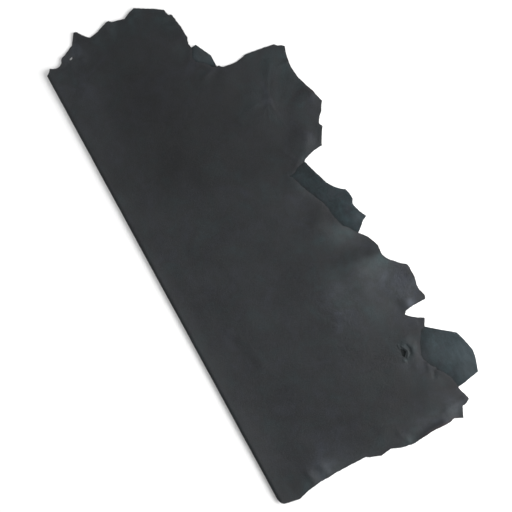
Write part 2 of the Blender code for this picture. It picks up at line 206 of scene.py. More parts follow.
creases = {
    "shankLine": (0.9, 0.6, (3.8, 12), (541, 1044), (518, 1010), (504, 986), (496, 958),
                  (490, 930), (486, 906)),
    "shankFanA": (0.8, 0.5, 7, (492, 964), (462, 968), (430, 960), (396, 948)),
    "shankFanB": (0.65, 0.3, 3.8, (484, 952), (464, 932), (450, 914)),
    "shankFanC": (0.6, 0.3, 3.8, (484, 944), (470, 916), (466, 896)),
    "shankFanD": (0.75, 0.3, 4.4, (494, 940), (496, 905), (500, 868)),
    "shankFanE": (0.6, 0.3, 4, (502, 984), (482, 996), (462, 1002)),
    "shankHollow": (-0.8, 1, 18, (560, 935), (540, 925)),
    "shankRim": (1.6, 0.3, 6, (592, 1027), (556, 1025)),
    "kneeHollow": (-0.9, 1, 14, (590, 965), (570, 950)),
    "kneeRim": (1.3, 1, 10, (603, 916), (594, 890)),
    "elbowCrest": (1, 0.9, 9, (538, 826), (529, 809), (516, 798)),
    "elbowHollow": (-0.5, 1, 14, (515, 830), (500, 812)),
    "pitCrest": (1, 1, 8, (490, 779), (476, 772)),
    "pitLineA": (0.9, 0.3, 5, (485, 777), (473, 800), (457, 828)),
    "pitLineB": (0.6, 0.3, 4, (476, 768), (464, 782), (450, 802)),
    "flankCrest": (1.2, 0, (6, 14), (568, 452), (530, 457), (486, 465), (430, 476)),
    "flankTrough": (-0.7, 0, 18, (556, 500), (500, 508), (430, 516)),
    "loinCrest": (0.6, 2.2, 12, (524, 390), (540, 342), (552, 304)),
    "hipLineA": (0.5, 0.5, 3.2, (606, 352), (572, 346)),
    "hipLineB": (0.5, 0.5, 3.2, (604, 341), (570, 335)),
    "hipLineC": (0.45, 0.5, 3.2, (602, 330), (574, 324)),
    "hipLineD": (0.45, 0.5, 3.2, (606, 366), (578, 360)),
    "hipLineE": (0.4, 0.5, 3.2, (602, 384), (576, 378)),
    "hipCrest": (1.3, 1, 9, (563, 308), (560, 290)),
    "hipHollow": (-0.6, 1, 12, (543, 318), (535, 298)),
    "tearRidge": (1.5, 0.9, 2.2, (491, 206), (499, 189), (498, 182), (490, 173)),
    "tearHead": (1.2, 0.8, 1.9, (484, 214), (483, 203)),
    "tearFoot": (1.5, 1, 3.8, (478, 170), (480, 166)),
    "tearCurl": (-2.6, 0.8, 4.2, (503, 202), (507, 190), (503, 178)),
    "tearPull": (0.4, 0.5, 7, (470, 200), (452, 202), (436, 198)),
    "shankFoldA": (1.5, 1, 8, (522, 196), (516, 184), (514, 170)),
    "shankFoldB": (2, 1, 8, (531, 133), (526, 117)),
    "shankFoldC": (-1.5, 1, 6, (548, 116), (538, 108), (529, 92)),
    "rumpHollow": (-1.2, 1, 34, (470, 100), (440, 66)),
    "rumpCrest": (2.5, 1, 9, (572, 2), (518, -1)),
    "tailPull": (0.8, 1, 6, (372, 14), (376, -8)),
    "tailNick": (1.4, 1, 6, (386, -20), (386, -38)),
    "tailWaveA": (2.3, 1, 10, (107, 26), (110, 0)),
    "tailWaveB": (2.3, 1, 11, (147, 26), (151, 0)),
    "tailWaveC": (-0.8, 1, 9, (130, 22), (132, 0)),
    "tailCorner": (1.2, 1, 14, (32, 34), (24, 6)),
    "neckRollA": (1.2, 1, 9, (64, 1322), (72, 1298), (66, 1280)),
    "neckRollB": (1.5, 1, 9, (104, 1320), (112, 1304), (106, 1290)),
    "neckTip": (1.2, 1, 10, (122, 1362), (126, 1338)),
    "neckLineA": (0.6, 1, 4, (160, 1328), (190, 1318)),
    "neckLineB": (-0.5, 1, 4, (166, 1320), (196, 1311)),
    "neckRim": (1.6, 1, 12, (212, 1346), (206, 1326)),
    "neckBrow": (1.4, 1, 16, (292, 1340), (330, 1314), (352, 1290)),
    "neckSideA": (-0.8, 1, 5, (352, 1276), (368, 1268)),
    "neckSideB": (0.8, 1, 5, (350, 1262), (370, 1256)),
    "throatHollow": (-1.2, 1, 20, (352, 1196), (360, 1164)),
    "throatCrest": (1.6, 1, 10, (396, 1102), (372, 1096)),
    "saddleA": (0.8, 1, 20, (74, 1212), (66, 1142), (52, 1080)),
    "saddleB": (-0.9, 1, 26, (148, 1284), (134, 1214), (112, 1160)),
    "saddleC": (0.7, 1, 24, (70, 920), (78, 850)),
    "backLineA": (0.6, 1, 14, (120, 700), (170, 640), (190, 560)),
    "backLineB": (0.5, 1, 12, (96, 470), (130, 410), (136, 340)),
    "backHollow": (-0.7, 1, 30, (220, 740), (250, 640)),
    "loinHollow": (-0.7, 1, 34, (180, 300), (210, 200)),
    "sidePullA": (0.35, 1, 5, (352, 398), (372, 372)),
    "sidePullB": (0.4, 1, 5, (366, 392), (388, 362)),
    "sidePullC": (0.35, 1, 5, (372, 366), (396, 334)),
    "sidePullD": (0.3, 1, 5, (392, 352), (408, 322)),
    "sidePullE": (0.3, 1, 5, (352, 352), (368, 330)),
    "sidePullF": (0.3, 1, 6, (344, 286), (362, 250), (366, 228)),
    "sidePullG": (0.3, 1, 6, (372, 276), (384, 244)),
}

# Where an edge turns up: out, along, reach along the edge, lift, how far in it starts.
upperCurls = [
    (548, 512, 20, 0.8, 10), (541, 116, 12, 1.4, 9), (560, 86, 14, 0.8, 10),
    (482, -33, 40, 6.5, 12), (432, -35, 20, 4.5, 11), (398, -38, 10, 1.6, 8),
    (578, -2, 14, 1.4, 12), (544, -38, 10, 1.6, 12), (118, 1366, 16, 1.6, 16),
    (64, 1328, 20, 1.2, 12), (212, 1352, 22, 1.4, 14), (300, 1346, 40, 1.2, 20),
    (345, 1318, 34, 1.2, 18), (378, 1240, 26, 0.8, 10), (440, 1095, 26, 0.8, 12),
    (500, 1096, 24, 0.8, 12), (598, 1068, 16, 1.4, 16), (590, 1022, 16, 1.4, 12),
    (617, 892, 18, 1.4, 14), (574, 808, 24, 0.8, 12), (600, 398, 18, 0.8, 12),
    (612, 360, 24, 0.8, 10), (610, 300, 14, 1, 10), (570, 288, 16, 1.2, 10),
    (582, 246, 12, 1.2, 10), (54, -22, 24, 1, 12), (110, -12, 14, 0.8, 12),
    (160, -10, 14, 0.8, 12), (230, -10, 30, 0.6, 10), (300, -25, 18, 0.9, 12),
    (340, -22, 18, 0.6, 10), (16, 1312, 14, 1, 10),
]
# Where the leather rolls over to its edge: out, along, reach along the edge, height, how
# far in it is highest, half width.
upperRolls = [
    (460, 718, 30, 0.8, 14, 11), (480, 668, 30, 0.5, 13, 10), (498, 604, 26, 0.5, 12, 9),
    (520, 550, 26, 2, 15, 11), (540, 190, 26, 0.7, 14, 11), (527, 154, 18, 0.7, 12, 10),
    (541, 114, 9, 1.4, 8, 6), (500, 770, 30, 1, 12, 9), (372, 1160, 22, 1, 10, 8),
    (390, 1128, 20, 1.2, 9, 7), (590, 1000, 40, 0.8, 14, 10), (606, 360, 40, 0.6, 12, 9),
]
lowerCurls = [
    (392, 1184, 16, 1.8, 12), (410, 1150, 20, 1, 10), (512, 726, 30, 1.6, 12),
    (538, 672, 24, 1, 12), (564, 634, 22, 2, 14), (570, 566, 18, 2.4, 12),
    (600, 198, 26, 2.2, 16), (640, 160, 24, 3.6, 18), (655, 108, 30, 4.2, 20),
    (642, 58, 20, 3, 16), (610, 42, 24, 1.4, 12),
]
lowerSwells = {
    "shankBowl": (2.2, 1, 26, (560, 190), (560, 120)),
    "shankRise": (3.4, 1, 30, (626, 140), (632, 90)),
    "shankLap": (1.6, 1, 16, (586, 66), (612, 60)),
    "flankRise": (2, 1, 18, (540, 620), (548, 580)),
    "flankLap": (1.4, 1, 16, (505, 720), (518, 680)),
    "throatRise": (1.2, 1, 12, (392, 1160), (398, 1146)),
}

# Crinkled places of the upper layer: out, along, reach, height.
crinkles = [
    (586, 384, 34, 0.26), (566, 342, 34, 0.24), (380, 352, 48, 0.14), (372, 246, 50, 0.14),
    (488, 236, 30, 0.12), (470, 190, 40, 0.12), (430, 170, 60, 0.08), (560, 1040, 44, 0.12),
    (596, 930, 34, 0.16), (470, 590, 40, 0.10), (80, 1306, 34, 0.14), (180, 1322, 36, 0.14),
    (362, 1272, 24, 0.14), (300, 20, 80, 0.08), (540, 10, 40, 0.12),
]

# Gentle unevenness of the whole hide: size of a wave, its height, its noise layer.
waves = [(150, 1.3, 0), (64, 0.55, 3.7), (27, 0.22, 7.4), (12, 0.06, 11.1)]
# Wander of the cut: size of a wave, its share, its noise layer past the line's own.
wanders = [(9, 1, 0), (23, 0.8, 5), (4.6, 0.9, 2)]

# The folded section: the bend, the slope down from it, and the two layers at rest.
half = hide["thickness"] / 2
bendRadius = hide["bendRadius"]
bendLean = math.radians(hide["bendLean"])
bendMiddle = half + bendRadius              # centre of the bend, both out and up
upperRest = 3 * half + hide["layerGap"]     # middle of the upper layer at rest
easeRadius = (bendMiddle + bendRadius - upperRest) / (1 - math.cos(bendLean)) - bendRadius
bendArc = bendRadius * (math.pi / 2 + bendLean)
slopeOut = bendMiddle + bendRadius * math.sin(bendLean)
restOut = slopeOut + easeRadius * math.sin(bendLean)
restAcross = bendArc + easeRadius * bendLean
lowerArc = bendRadius * math.pi / 2


def upperAcross(out):
    # how far a place of the upper layer is from the backbone, measured on the leather
    if out <= slopeOut:
        return bendRadius * math.acos(min(1.0, (bendMiddle - out) / bendRadius))
    if out <= restOut:
        tilt = math.asin(math.sin(bendLean) - (out - slopeOut) / easeRadius)
        return bendArc + easeRadius * (bendLean - tilt)
    return restAcross + out - restOut


def lowerAcross(out):
    if out <= bendMiddle:
        return -bendRadius * math.acos(min(1.0, (bendMiddle - out) / bendRadius))
    return -(lowerArc + out - bendMiddle)


def foldedPlaces(across):
    # out and up of flat places, once the hide is folded
    turn = np.clip(across, -lowerArc, bendArc) / bendRadius
    out = bendMiddle - bendRadius * np.cos(turn)
    up = bendMiddle + bendRadius * np.sin(turn)
    lower = across < -lowerArc
    out[lower] = bendMiddle - across[lower] - lowerArc
    up[lower] = half
    tilt = bendLean - np.clip(across - bendArc, 0, restAcross - bendArc) / easeRadius
    upper = across > bendArc
    out[upper] = (slopeOut + easeRadius * (math.sin(bendLean) - np.sin(tilt)))[upper]
    up[upper] = (upperRest + easeRadius * (1 - np.cos(tilt)))[upper]
    out += np.maximum(across - restAcross, 0)
    return out, up


def easeIn(value):
    value = np.clip(value, 0, 1)
    return value * value * (3 - 2 * value)


def cutLine(rows, ragged, layer):
    # a cut edge as close points (out, along), its bows as arcs, with a slight wander
    line = []
    for (out1, along1, *bow), (out2, along2, *_) in zip(rows, rows[1:]):
        start, run = Vector((out1, along1)), Vector((out2 - out1, along2 - along1))
        outward = Vector((-run.y, run.x)).normalized()
        steps = max(1, round(run.length / hide["edgePitch"]))
        for step in range(steps):
            share = step / steps
            spot = start + run * share + outward * sum(bow) * 4 * share * (1 - share)
            wander = 0
            for size, part, shift in wanders:
                place = Vector((spot.x / size, spot.y / size, layer + shift))
                wander += part * noise.noise(place)
            if spot.x > 2 * bendMiddle:     # the fold itself stays straight
                spot += outward * wander * ragged
            line.append(spot)
    return line


def finerRoundBend(loop):
    # more points where the edge runs round the fold
    finer = []
    for start, end in zip(loop, loop[1:] + loop[:1]):
        finer.append(start)
        reach = abs(end.x - start.x)
        if min(abs(start.x), abs(end.x)) < bendArc and reach > hide["bendPitch"]:
            steps = math.ceil(reach / hide["bendPitch"])
            finer += [start.lerp(end, step / steps) for step in range(1, steps)]
    return finer


def holeLine(out, along, length, width, turn, uneven):
    spots = []
    for step in range(holeSteps):
        angle = 2 * math.pi * step / holeSteps
        bumpy = noise.noise(Vector((3 * math.cos(angle), 3 * math.sin(angle), out)))
        threeCornered = 0.6 * math.sin(3 * angle - 0.5)
        rough = 1 + uneven * (bumpy + threeCornered)
        spot = Vector((length / 2 * math.cos(angle), width / 2 * math.sin(angle))) * rough
        spot.rotate(Matrix.Rotation(math.radians(turn), 2))
        spots.append(spot + Vector((out, along)))
    return spots


def isInside(points, loop):
    # which points lie within a closed line
    corners = np.array([tuple(spot) for spot in loop])
    ends = np.roll(corners, -1, axis=0)
    odd = np.zeros(len(points), bool)
    for (x1, y1), (x2, y2) in zip(corners, ends):
        if y1 != y2:
            crossed = (points[:, 1] < y1) != (points[:, 1] < y2)
            where = x1 + (points[:, 1] - y1) * (x2 - x1) / (y2 - y1)
            odd ^= crossed & (points[:, 0] < where)
    return odd


def isOnSheet(points, loops):
    # which points lie within the outline, the first loop, and outside the holes
    kept = isInside(points, loops[0])
    for hole in loops[1:]:
        kept &= ~isInside(points, hole)
    return kept


def nearestOn(lines, points):
    # distance from each point to the nearest of some lines
    spots = [spot for line in lines for start, end in zip(line, line[1:])
             for spot in (start, start.lerp(end, 0.5))]
    tree = KDTree(len(spots))
    for index, spot in enumerate(spots):
        tree.insert((spot.x, spot.y, 0), index)
    tree.balance()
    return np.array([tree.find((x, y, 0))[2] for x, y in points])


def lattice(left, right, bottom, top, pitch):
    # places in rows that are shifted by half a step in turn
    rowStep = pitch * math.sqrt(3) / 2
    spots = []
    for row in range(int((top - bottom) / rowStep) + 1):
        first = left + (pitch / 2 if row % 2 else 0)
        columns = np.arange(first, right, pitch)
        spots.append(np.column_stack([columns, np.full(len(columns), bottom + row * rowStep)]))
    return np.concatenate(spots)


def inBox(points, box, margin):
    left, right, bottom, top = box
    return ((points[:, 0] > left - margin) & (points[:, 0] < right + margin)
            & (points[:, 1] > bottom - margin) & (points[:, 1] < top + margin))


def innerPlaces(loops, lines):
    # flat places (across, along) between the edges, close where the leather shows
    left, bottom = np.min(loops[0], axis=0)
    right, top = np.max(loops[0], axis=0)
    columns = np.linspace(-lowerArc, bendArc, round((lowerArc + bendArc) / hide["bendPitch"]) + 1)
    rows = np.arange(bottom, top, hide["bendRow"])
    bend = np.array([(column, row + (0.5 if i % 2 else 0) * hide["bendRow"])
                     for i, column in enumerate(columns) for row in rows])
    pastUpper, pastLower = hide["pastBend"]
    upper = lattice(bendArc + pastUpper, right, bottom, top, hide["upperPitch"])
    hidden = lattice(left, -lowerArc - pastLower, bottom, top, hide["hiddenPitch"])
    groups = [(bend, hide["bendKeepOff"])]      # places, and how far they keep from the cut
    for out, along, reach, pitch in fineZones:
        across = upperAcross(out)
        close = lattice(across - reach, across + reach, along - reach, along + reach, pitch)
        close = close[np.hypot(*(close - (across, along)).T) < reach]
        groups.append((close, hide["fineKeepOff"] * pitch))
        upper = upper[np.hypot(*(upper - (across, along)).T) > reach + hide["pastFine"]]
    for out1, out2, along1, along2 in patches.values():
        box = (lowerAcross(out2), lowerAcross(out1), along1, along2)
        hidden = hidden[~inBox(hidden, box, hide["pastPatch"])]
        groups.append((lattice(*box, hide["patchPitch"]), hide["keepOff"]))
    groups += [(upper, hide["keepOff"]), (hidden, hide["keepOff"])]
    inner = []
    for places, keepOff in groups:
        places = places[isOnSheet(places, loops)]
        inner.append(places[nearestOn(lines, places) > keepOff])
    return np.concatenate(inner)


def flatSheet(upperLine, lowerLine):
    # flat points and triangles of the hide, and the closed lines of its outline and holes
    upper = [Vector((upperAcross(max(spot.x, 0)), spot.y)) for spot in upperLine]
    lower = [Vector((lowerAcross(max(spot.x, 0)), spot.y)) for spot in lowerLine]
    # the two layers share the fold's two ends
    loop = finerRoundBend(upper + [Vector((0, hide["bendEnd"]))] + lower[:0:-1]
                          + [Vector((0, hide["foldEnd"]))])
    loop = [spot for i, spot in enumerate(loop)
            if (spot - loop[i - 1]).length > hide["shortest"]]
    loops = [loop]
    for hole in holes.values():
        loops.append([Vector((upperAcross(spot.x), spot.y)) for spot in holeLine(*hole)])
    closed = [line + line[:1] for line in loops]
    points, rims = [], []
    for line in loops:
        first = len(points)
        points += line
        rims += [(first + i, first + (i + 1) % len(line)) for i in range(len(line))]
    points += [Vector(place) for place in innerPlaces(loops, closed)]
    # output 1 keeps what lies within the rims, and points this close merge
    outputType, mergeWithin = 1, 1e-4
    verts, _, faces, *_ = delaunay_2d_cdt(points, rims, [], outputType, mergeWithin)
    flat, corners = np.array([tuple(vert) for vert in verts]), np.array(faces)
    corners = corners[isOnSheet(flat[corners].mean(axis=1), loops)]
    used, corners = np.unique(corners, return_inverse=True)     # leaves no loose points
    corners = corners.reshape(-1, 3)
    print("flat sheet:", len(used), "points,", len(corners), "triangles")
    return flat[used], corners, closed


def ridges(out, along, table):
    # soft ridges and troughs along lines
    height = np.zeros(len(out))
    for rise, endShare, halfWidth, *line in table.values():
        nearest, walked = np.full(len(out), np.inf), np.zeros(len(out))
        left = np.zeros(len(out), bool)
        for step, ((x1, y1), (x2, y2)) in enumerate(zip(line, line[1:])):
            runX, runY = x2 - x1, y2 - y1
            share = ((out - x1) * runX + (along - y1) * runY) / (runX ** 2 + runY ** 2)
            share = np.clip(share, 0, 1)
            gap = np.hypot(out - x1 - runX * share, along - y1 - runY * share)
            walked = np.where(gap < nearest, (step + share) / (len(line) - 1), walked)
            turned = runX * (along - y1) - runY * (out - x1)
            left = np.where(gap < nearest, turned > 0, left)
            nearest = np.minimum(nearest, gap)
        if isinstance(halfWidth, tuple):
            halfWidth = np.where(left, *halfWidth)
        height += rise * (1 + (endShare - 1) * walked) * np.exp(-(nearest / halfWidth) ** 2)
    return height


def fades(out, along, table):
    # what all rows give together: each most at its own place, and little past its reach
    total = np.zeros(len(out))
    for placeOut, placeAlong, reach, amount in table:
        total += amount * np.exp(-(np.hypot(out - placeOut, along - placeAlong) / reach) ** 2)
    return total


def rolls(out, along, away, table):
    height = np.zeros(len(out))
    for *row, inset, width in table:
        height += fades(out, along, [row]) * np.exp(-((away - inset) / width) ** 2)
    return height


def curls(out, along, away, table):
    # a curl is a roll that is highest at the edge itself
    return rolls(out, along, away, [(*row, 0, inward) for *row, inward in table])


def noiseOver(flat, sizeAcross, sizeAlong, layer):
    return np.array([noise.noise(Vector((x / sizeAcross, y / sizeAlong, layer)))
                     for x, y in flat])


def unevenness(flat):
    return sum(rise * noiseOver(flat, size, size, layer) for size, rise, layer in waves)


def crinkled(flat, out, along):
    reach = fades(out, along, crinkles)
    near = reach > hide["crinkleLeast"]
    warp = hide["warpReach"] * noiseOver(flat[near], *hide["crinkleWarp"])
    bent = flat[near] + np.column_stack([warp, -warp])
    wave = np.abs(noiseOver(bent, *hide["crinkleNoise"]))
    height = np.zeros(len(flat))
    height[near] = reach[near] * (1 - hide["crinkleSharp"] * wave)
    return height


def laidOut(flat, closed, upperLine, lowerLine):
    # where every flat place lies on the folded hide, how far it is from a cut edge, and how
    # far out it is past the upper layer
    across, along = flat[:, 0], flat[:, 1]
    out, up = foldedPlaces(across)
    away = nearestOn(closed[:1], flat)
    spots = np.column_stack([out, along])
    beyondUpper = np.where(isInside(spots, upperLine), 0, nearestOn([upperLine], spots))
    beyondLower = np.where(isInside(spots, lowerLine), 0, nearestOn([lowerLine], spots))
    uneven = unevenness(flat)
    restless = noiseOver(flat, *hide["rippleNoise"])

    relief = ridges(out, along, swells) + ridges(out, along, creases)
    relief += crinkled(flat, out, along)
    upperUp = up + easeIn(across / restAcross) * relief
    upperUp += easeIn(across / hide["unevenFrom"]) * uneven
    rippleRise, rippleVary = hide["ripple"]
    upperUp += (easeIn(across / hide["rippleFrom"]) * (rippleRise + rippleVary * restless)
                * np.exp(-(away / hide["rippleReach"]) ** 2))
    upperUp += curls(out, along, away, upperCurls) + rolls(out, along, away, upperRolls)
    sinkStart, sinkOver = hide["sinkFrom"]
    sink = hide["sink"] * easeIn((beyondLower - sinkStart) / sinkOver)
    upperUp -= sink
    floorUp = hide["lowest"] - sink
    settled = floorUp + np.logaddexp(0, (upperUp - floorUp) / hide["settle"]) * hide["settle"]
    upperUp = np.where(across > bendArc, settled, upperUp)

    lowerLift, lowerUneven = hide["lowerRise"]
    lowerRipple, lowerReach = hide["lowerRipple"]
    relief = ridges(out, along, lowerSwells) + lowerUneven * np.abs(uneven) + lowerLift
    relief += np.maximum(0, lowerRipple + restless) * np.exp(-(away / lowerReach) ** 2)
    lowerUp = up + easeIn(beyondUpper / hide["lowerShow"]) * relief
    lowerUp += easeIn(beyondUpper / hide["lowerCurl"]) * curls(out, along, away, lowerCurls)
    up = np.where(across > 0, upperUp, lowerUp)

    # puckers stand out from the round of the fold
    pucker = noiseOver(flat, *hide["puckerNoise"])
    pucker += hide["slowShare"] * noiseOver(flat * (0, 1), *hide["puckerSlow"])
    band, fade = hide["puckerReach"]
    pucker *= hide["pucker"] * np.exp(-(np.maximum(0, np.abs(across) - band) / fade) ** 2)
    turn = np.clip(across, -lowerArc, bendArc) / bendRadius
    out = out - pucker * np.cos(turn)
    up = up + pucker * np.sin(turn)
    return np.column_stack([out, along, up]), nearestOn(closed, flat), beyondUpper


def addObject(name, data):
    thing = bpy.data.objects.new(name, data)
    bpy.context.scene.collection.objects.link(thing)
    return thing


def makeHide():
    upperLine = cutLine(upperEdge, *hide["upperWander"])
    lowerLine = cutLine(lowerEdge, *hide["lowerWander"])
    flat, corners, closed = flatSheet(upperLine, lowerLine)
    places, away, beyondUpper = laidOut(flat, closed, upperLine, lowerLine)
    sheet = bmesh.new()
    origin = Vector((*hide["middle"], 0))
    verts = [sheet.verts.new((Vector(place) - origin) * mm) for place in places]
    for corner in corners:
        sheet.faces.new([verts[i] for i in corner]).smooth = True
    for edge in sheet.edges:
        edge.smooth = not edge.is_boundary      # the cut edge stays crisp
    mesh = bpy.data.meshes.new("leatherHide")
    sheet.to_mesh(mesh)
    sheet.free()
    print("hide shaped")
    colourHide(mesh, flat, places, away, beyondUpper)

    piece = addObject("leatherHide", mesh)
    body = piece.modifiers.new("thickness", "SOLIDIFY")
    body.thickness = hide["thickness"] * mm
    body.offset = 0
    body.use_even_offset = True
    body.material_offset = 1        # flesh side
    body.material_offset_rim = 2    # cut edge
    return piece


# Where the grain is more teal (positive) or more lilac: out, along, reach, amount.
# The flesh side is greyer where it is negative.
# The lilac rows at 568, 297 and at 482, -26 tint the painted highlight at the hip notch and the
# painted shade of the tail band.
tealTints = [
    # neck and shoulder
    (180, 1328, 40, 0.2), (300, 1330, 46, 0.2), (350, 1290, 34, 0.4), (60, 1230, 70, -0.12),
    (250, 1100, 90, -0.2), (402, 1154, 20, -0.6),
    # front leg
    (560, 1060, 60, 0.3), (590, 980, 46, 0.2), (480, 985, 38, 0.1), (480, 905, 40, 0.12),
    (530, 930, 40, 0.1), (600, 912, 16, -0.2), (540, 808, 18, -0.3),
    # flank, belly and hip
    (480, 552, 40, 0.25), (545, 488, 40, -0.25), (420, 470, 50, 0.3), (545, 430, 40, 0.1),
    (430, 410, 55, -0.35), (485, 395, 50, 0.25), (590, 390, 34, -0.45), (565, 320, 50, -0.4),
    (568, 297, 14, -0.6), (500, 270, 70, 0.15), (548, 250, 46, -0.4),
    # thigh and rump
    (490, 196, 56, 0.2), (528, 150, 44, -0.3), (340, 160, 70, 0.1), (200, 60, 60, -0.4),
    # tail end
    (30, 20, 50, 0.3), (140, 0, 50, -0.12), (400, 40, 50, 0.2), (440, 20, 60, -0.15),
    (482, -26, 26, -0.6), (560, 0, 40, -0.15),
]
# Painted light and shade on the grain side: lighter (positive) as painted sheen and highlights,
# darker as painted shade. Same columns.
paintedShadingTints = [
    # neck and shoulder
    (60, 1240, 62, 0.45), (200, 1180, 110, -0.4), (250, 980, 150, -0.45), (98, 1317, 25, 1.4),
    (62, 1316, 16, 0.5), (20, 960, 50, -0.3), (280, 1330, 40, 0.35), (300, 1346, 20, 0.9),
    (260, 1338, 20, 0.5), (211, 1344, 21, 1.65), (170, 1338, 20, 0.5), (120, 1345, 20, 0.3),
    (390, 1116, 20, 0.5), (370, 1178, 14, 0.3), (70, 1165, 40, 0.15), (150, 900, 90, -0.15),
    (360, 860, 90, -0.2), (400, 1024, 50, -0.35),
    # front leg
    (526, 954, 20, -0.25), (544, 990, 22, -0.25), (499, 1010, 18, 0.5), (482, 974, 34, 1),
    (466, 961, 16, 0.4), (584, 1024, 24, 0.6), (556, 1068, 50, 0.45), (560, 970, 40, 0.2),
    (580, 900, 40, 0.35), (584, 910, 16, 0.5), (612, 912, 16, 1.4), (455, 880, 50, -0.15),
    (500, 910, 40, 0.3), (540, 803, 20, 0.8), (482, 778, 20, 0.6), (458, 704, 26, 0.9),
    # flank, belly and hip
    (470, 616, 34, -0.4), (507, 550, 30, 1.75), (440, 548, 20, 0.5), (536, 528, 26, 0.7),
    (400, 596, 50, 0.3), (466, 560, 30, 0.2), (562, 475, 14, 0.6), (573, 446, 20, 1.9),
    (530, 468, 12, -0.5), (496, 468, 14, -0.4), (548, 424, 36, 1.9), (508, 426, 45, 1.2),
    (424, 402, 56, 1.15), (436, 420, 80, 0.4), (536, 391, 38, 0.9), (576, 372, 20, -0.2),
    (550, 336, 38, 1.75), (602, 340, 18, 2), (600, 300, 12, 0.9), (566, 297, 11, 2.6),
    (465, 325, 80, 0.5), (370, 322, 26, 0.6),
    # thigh and rump
    (568, 204, 24, 0.9), (516, 206, 22, 0.6), (480, 156, 16, 0.8), (507, 188, 7, -0.9),
    (519, 189, 8, 0.6), (482, 165, 7, 0.7), (506, 165, 18, 0.25), (508, 130, 46, 0.9),
    (412, 125, 100, -0.42), (450, 82, 44, -0.3), (340, 40, 60, -0.15), (552, 34, 26, -0.35),
    (580, 8, 14, 0.5), (536, -6, 25, 1.7), (520, 2, 16, 0.5),
    # tail end
    (470, 6, 60, 0.55), (440, -2, 24, 0.85), (466, 0, 18, 0.6), (494, -4, 18, 0.8),
    (516, -24, 10, 0.9), (396, -27, 13, 2.2), (382, -20, 16, 1.1), (414, -16, 16, 1.3),
    (330, -12, 24, 0.5), (280, -12, 20, 0.5), (240, -6, 24, 0.6), (154, 0, 44, 2.4),
    (100, 2, 24, 0.4),
]
# Lines of painted shading on the grain side, darker where negative, in the columns of the
# creases. The tail band is painted shade just inside the tail edge.
paintedShadingLines = {"tailShadeBand": (-0.9, 0.6, 7, (488, -23), (424, -26))}
# Where the flesh side is paler (positive) or darker. Columns of the tints above.
paleTints = [
    (396, 1156, 42, 0.8), (405, 1148, 10, 0.6), (505, 740, 34, -0.6), (520, 690, 26, -0.3),
    (560, 566, 18, 0.6), (566, 580, 24, 0.55), (560, 592, 22, -0.4), (646, 112, 34, 1.15),
    (650, 78, 18, 0.7), (628, 56, 34, 1.4), (600, 118, 22, 0.6), (620, 112, 20, -0.3),
    (560, 160, 30, 0.25), (620, 168, 30, 0.3), (608, 180, 24, 0.3),
]
# Where the cut edge shows its reddish inside. Same columns.
rustTints = [(486, -34, 26, 1), (440, -36, 22, 0.8), (520, -34, 14, 0.6), (602, 922, 16, 0.5)]

# Patches and fibres: how many in a metre, detail, roughness, distortion. Shade: what the
# colour is multiplied by, least and most, and the noise at which it is so. From: the noise
# at which a share starts and is full. Bump: strength, depth in metres.
grain = {
    "dark": (0.0048, 0.0058, 0.0072, 1),
    "light": (0.0100, 0.0118, 0.0136, 1),
    "teal": (0.0085, 0.0165, 0.0185, 1),
    "lilac": (0.0128, 0.0150, 0.0208, 1),
    "worn": (0.0195, 0.0205, 0.0225, 1),
    "paintedLightWarmth": (1, 1, 0.94, 1),  # times the colour, where painted light makes it lighter,
    "paintedLightWarmthFull": 1.5,  # from a tint of 0 up to this
    "gloss": (0.7, 0.26),  # roughness, specular level
    "roughness": (0.62, 0.76, 0.3, 0.7),  # as the cloudy patches change it
    "wornRoughness": 0.2,  # more where the edge is worn,
    "wornReach": 3.2,  # this many millimetres in
    "tintLimits": (-1, 2.5),  # of all tints at one place together
    "paintedShadingRange": (0.2, 3),  # painted shading: the colour is times this at those limits
    "broad": (7, 3, 0.6), "broadFrom": (0.32, 0.68),
    "blotch": (17, 3, 0.6, 0.6), "blotchTint": (-0.42, 0.42, 0.3, 0.7),
    "cloudy": (38, 4, 0.6, 0.4), "cloudShade": (0.74, 1.28, 0.3, 0.7),
    "wearFrom": (0.35, 0.65),  # in the wrinkles
    "rub": (0, 0.35, 0.42, 0.7),  # along the fold, in the cloudy patches
    "rubReach": 26,  # millimetres from the backbone
    "wrinkle": (130, 5, 0.62, 1.1), "wrinkleBump": (0.5, 0.0009),
    "crush": (92, 4, 0.65, 1.4), "crushBump": (0.6, 0.008),
    "crushLeast": 0.05,  # away from the crinkled places
    # grain cells: how many in a metre, how unlike they are, what is measured in them
    "pebble": (620, 0.9, "DISTANCE_TO_EDGE"), "pebbleFrom": (0, 0.22),
    "pebbleShade": (0.62, 1.06), "pebbleBump": (0.6, 0.00022),
    "pores": (341, 1, "F1"), "poresFrom": (0.05, 0.3),
    "poreShade": (0.7, 1), "poreBump": (0.5, 0.00022),
}
